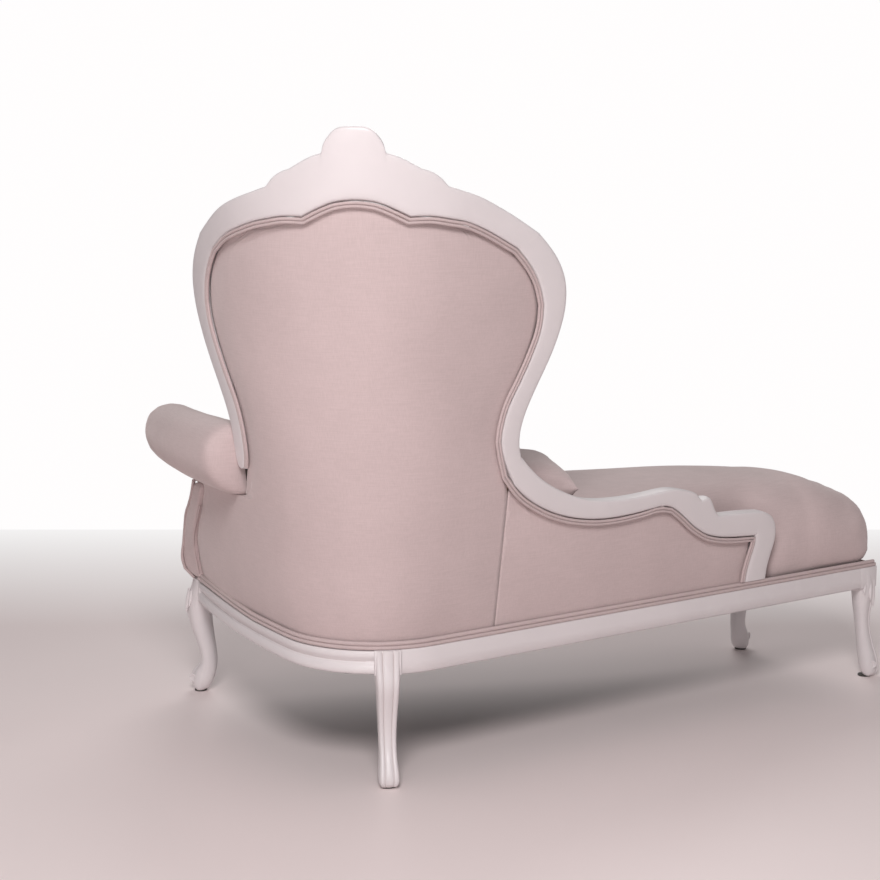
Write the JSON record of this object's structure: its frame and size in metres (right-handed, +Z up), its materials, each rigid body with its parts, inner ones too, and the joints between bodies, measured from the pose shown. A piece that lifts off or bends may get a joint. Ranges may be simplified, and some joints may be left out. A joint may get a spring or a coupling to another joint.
{
  "type": "fainting couch",
  "caption": "Upholstered fainting couch with a carved wooden back that wraps one corner, a low carved rail along the wall side, a padded arm across the head end and cabriole legs.",
  "frame": {"origin": "on the floor, under the middle of the whole couch's bounding box", "axes": "+Z up; +X towards the head end, where the carved back and the arm stand; -Y towards the open front where one sits, so the wall side with the low rail looks along +Y"},
  "size_m": [1.476, 0.8769, 1.142],
  "materials": {
    "painted_wood": "satin pale painted wood",
    "frame_wood": "plain sawn wood",
    "webbing": "woven jute webbing",
    "velvet": "short pile velvet, dusty rose grey",
    "welt_cord": "velvet covered double piping",
    "glide": "dark nail-on glide",
    "dust_felt": "thin black dust cloth"
  },
  "bodies": {
    "root": {"leg_head_wall": "painted_wood", "leg_head_front": "painted_wood", "leg_foot_wall": "painted_wood", "leg_foot_front": "painted_wood", "foot_glides": "glide", "head_rail": "painted_wood", "wall_rail": "painted_wood", "foot_rail": "painted_wood", "front_rail": "painted_wood", "corner_blocks": "frame_wood", "crest_rail": "painted_wood", "stile_front": "painted_wood", "stile_wall": "painted_wood", "upright_front": "frame_wood", "upright_wall": "frame_wood", "lower_back_rail": "frame_wood", "wall_arm_rail": "painted_wood", "wall_arm_post": "painted_wood", "front_arm_rail": "frame_wood", "front_arm_post": "painted_wood", "seat_webbing_long": "webbing", "seat_webbing_cross": "webbing", "back_webbing": "webbing", "dust_cover": "dust_felt", "seat_cushion": "velvet", "outside_back_panel": "velvet", "outside_wall_panel": "velvet", "inside_back_pad": "velvet", "inside_wall_pad": "velvet", "inside_arm_pad": "velvet", "arm_pad": "velvet", "frame_welt": "welt_cord", "arm_welt": "welt_cord", "base_welt_wall": "welt_cord", "base_welt_front": "welt_cord", "scatter_cushion": "velvet"}
  },
  "joints": []
}
